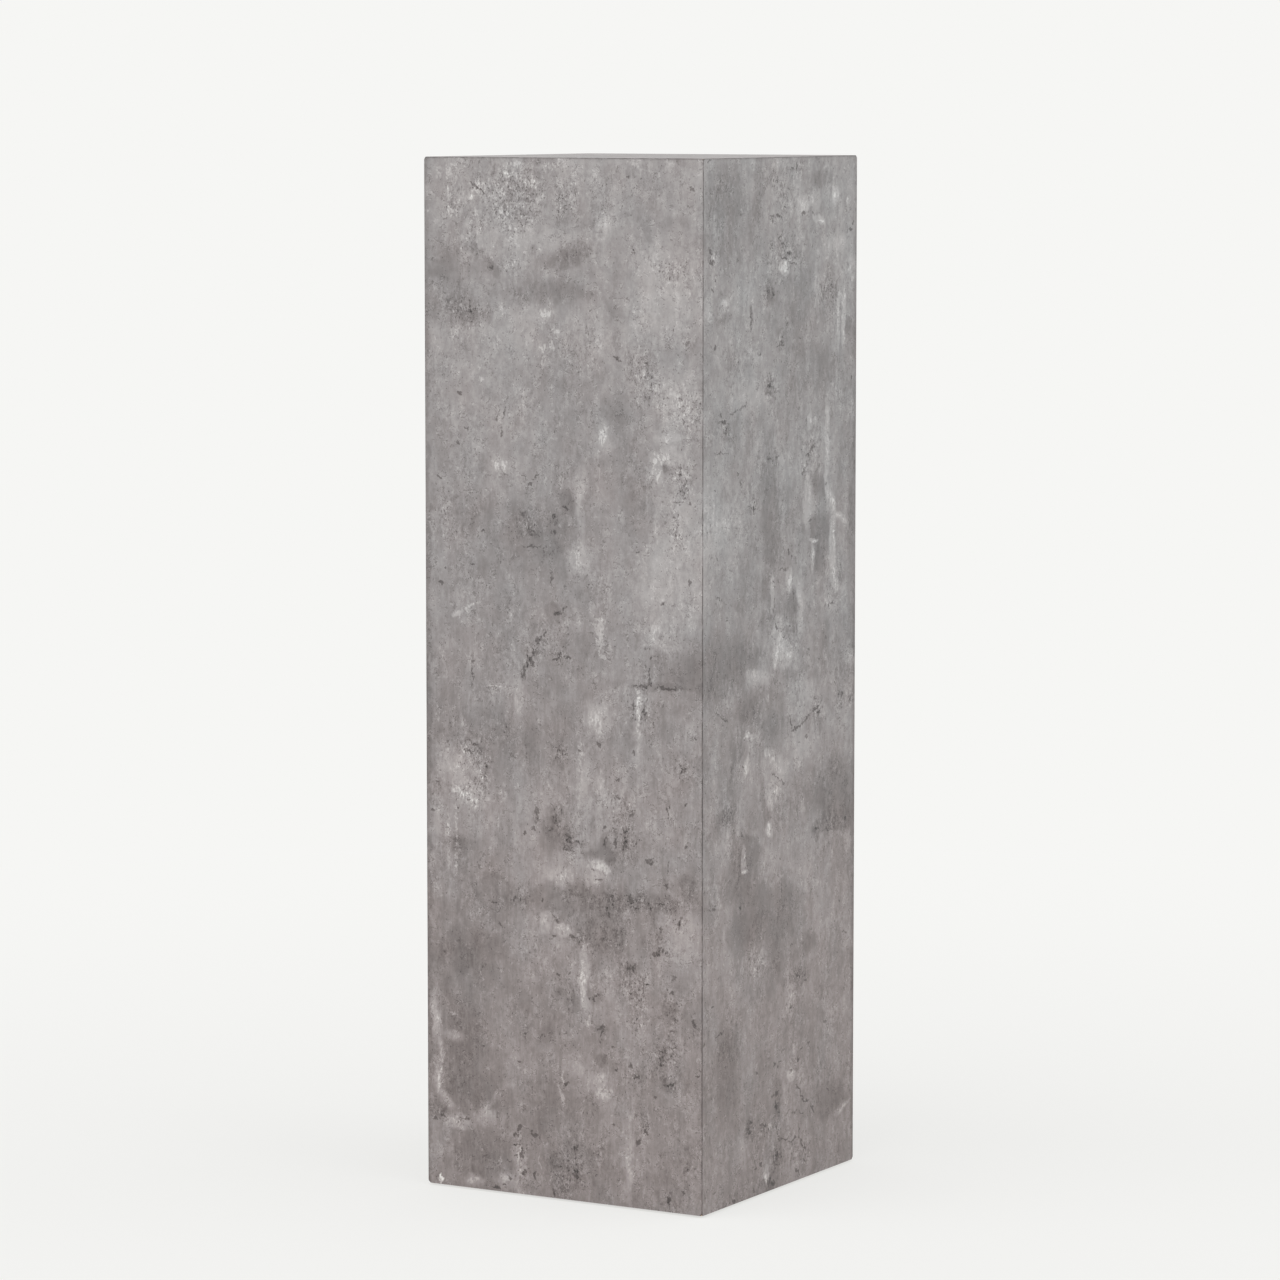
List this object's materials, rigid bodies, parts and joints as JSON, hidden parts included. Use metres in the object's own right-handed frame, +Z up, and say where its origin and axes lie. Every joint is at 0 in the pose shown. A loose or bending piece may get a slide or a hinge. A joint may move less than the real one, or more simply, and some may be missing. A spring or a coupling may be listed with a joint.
{
  "type": "pedestal column stand",
  "caption": "Tall square display column, a mitred box of concrete-look laminate on fibreboard, with a flat top to stand things on and low plastic glides below.",
  "frame": {"origin": "on the floor, under the middle of the column", "axes": "+Z up the column; +X to the right and -Y towards a viewer who faces the front"},
  "size_m": [0.307, 0.307, 1],
  "materials": {
    "concrete_laminate": "matt decor laminate, printed to look like cast concrete",
    "mdf": "raw medium-density fibreboard",
    "plywood": "raw birch plywood",
    "softwood": "planed pine",
    "glide_plastic": "moulded polyethylene",
    "zinc_steel": "zinc-plated steel"
  },
  "bodies": {
    "root": {"back_board": "mdf", "back_laminate": "concrete_laminate", "back_left_batten": "softwood", "back_left_glide": "glide_plastic", "back_left_spline": "plywood", "back_right_batten": "softwood", "back_right_glide": "glide_plastic", "back_right_spline": "plywood", "base_back_cleat": "softwood", "base_board": "mdf", "base_front_cleat": "softwood", "base_left_cleat": "softwood", "base_right_cleat": "softwood", "base_screws": "zinc_steel", "brace_board": "mdf", "front_board": "mdf", "front_laminate": "concrete_laminate", "front_left_batten": "softwood", "front_left_glide": "glide_plastic", "front_left_spline": "plywood", "front_right_batten": "softwood", "front_right_glide": "glide_plastic", "front_right_spline": "plywood", "glide_nails": "zinc_steel", "left_board": "mdf", "left_laminate": "concrete_laminate", "right_board": "mdf", "right_laminate": "concrete_laminate", "top_back_cleat": "softwood", "top_back_spline": "plywood", "top_board": "mdf", "top_front_cleat": "softwood", "top_front_spline": "plywood", "top_laminate": "concrete_laminate", "top_left_cleat": "softwood", "top_left_spline": "plywood", "top_right_cleat": "softwood", "top_right_spline": "plywood", "top_screws": "zinc_steel"}
  },
  "joints": []
}
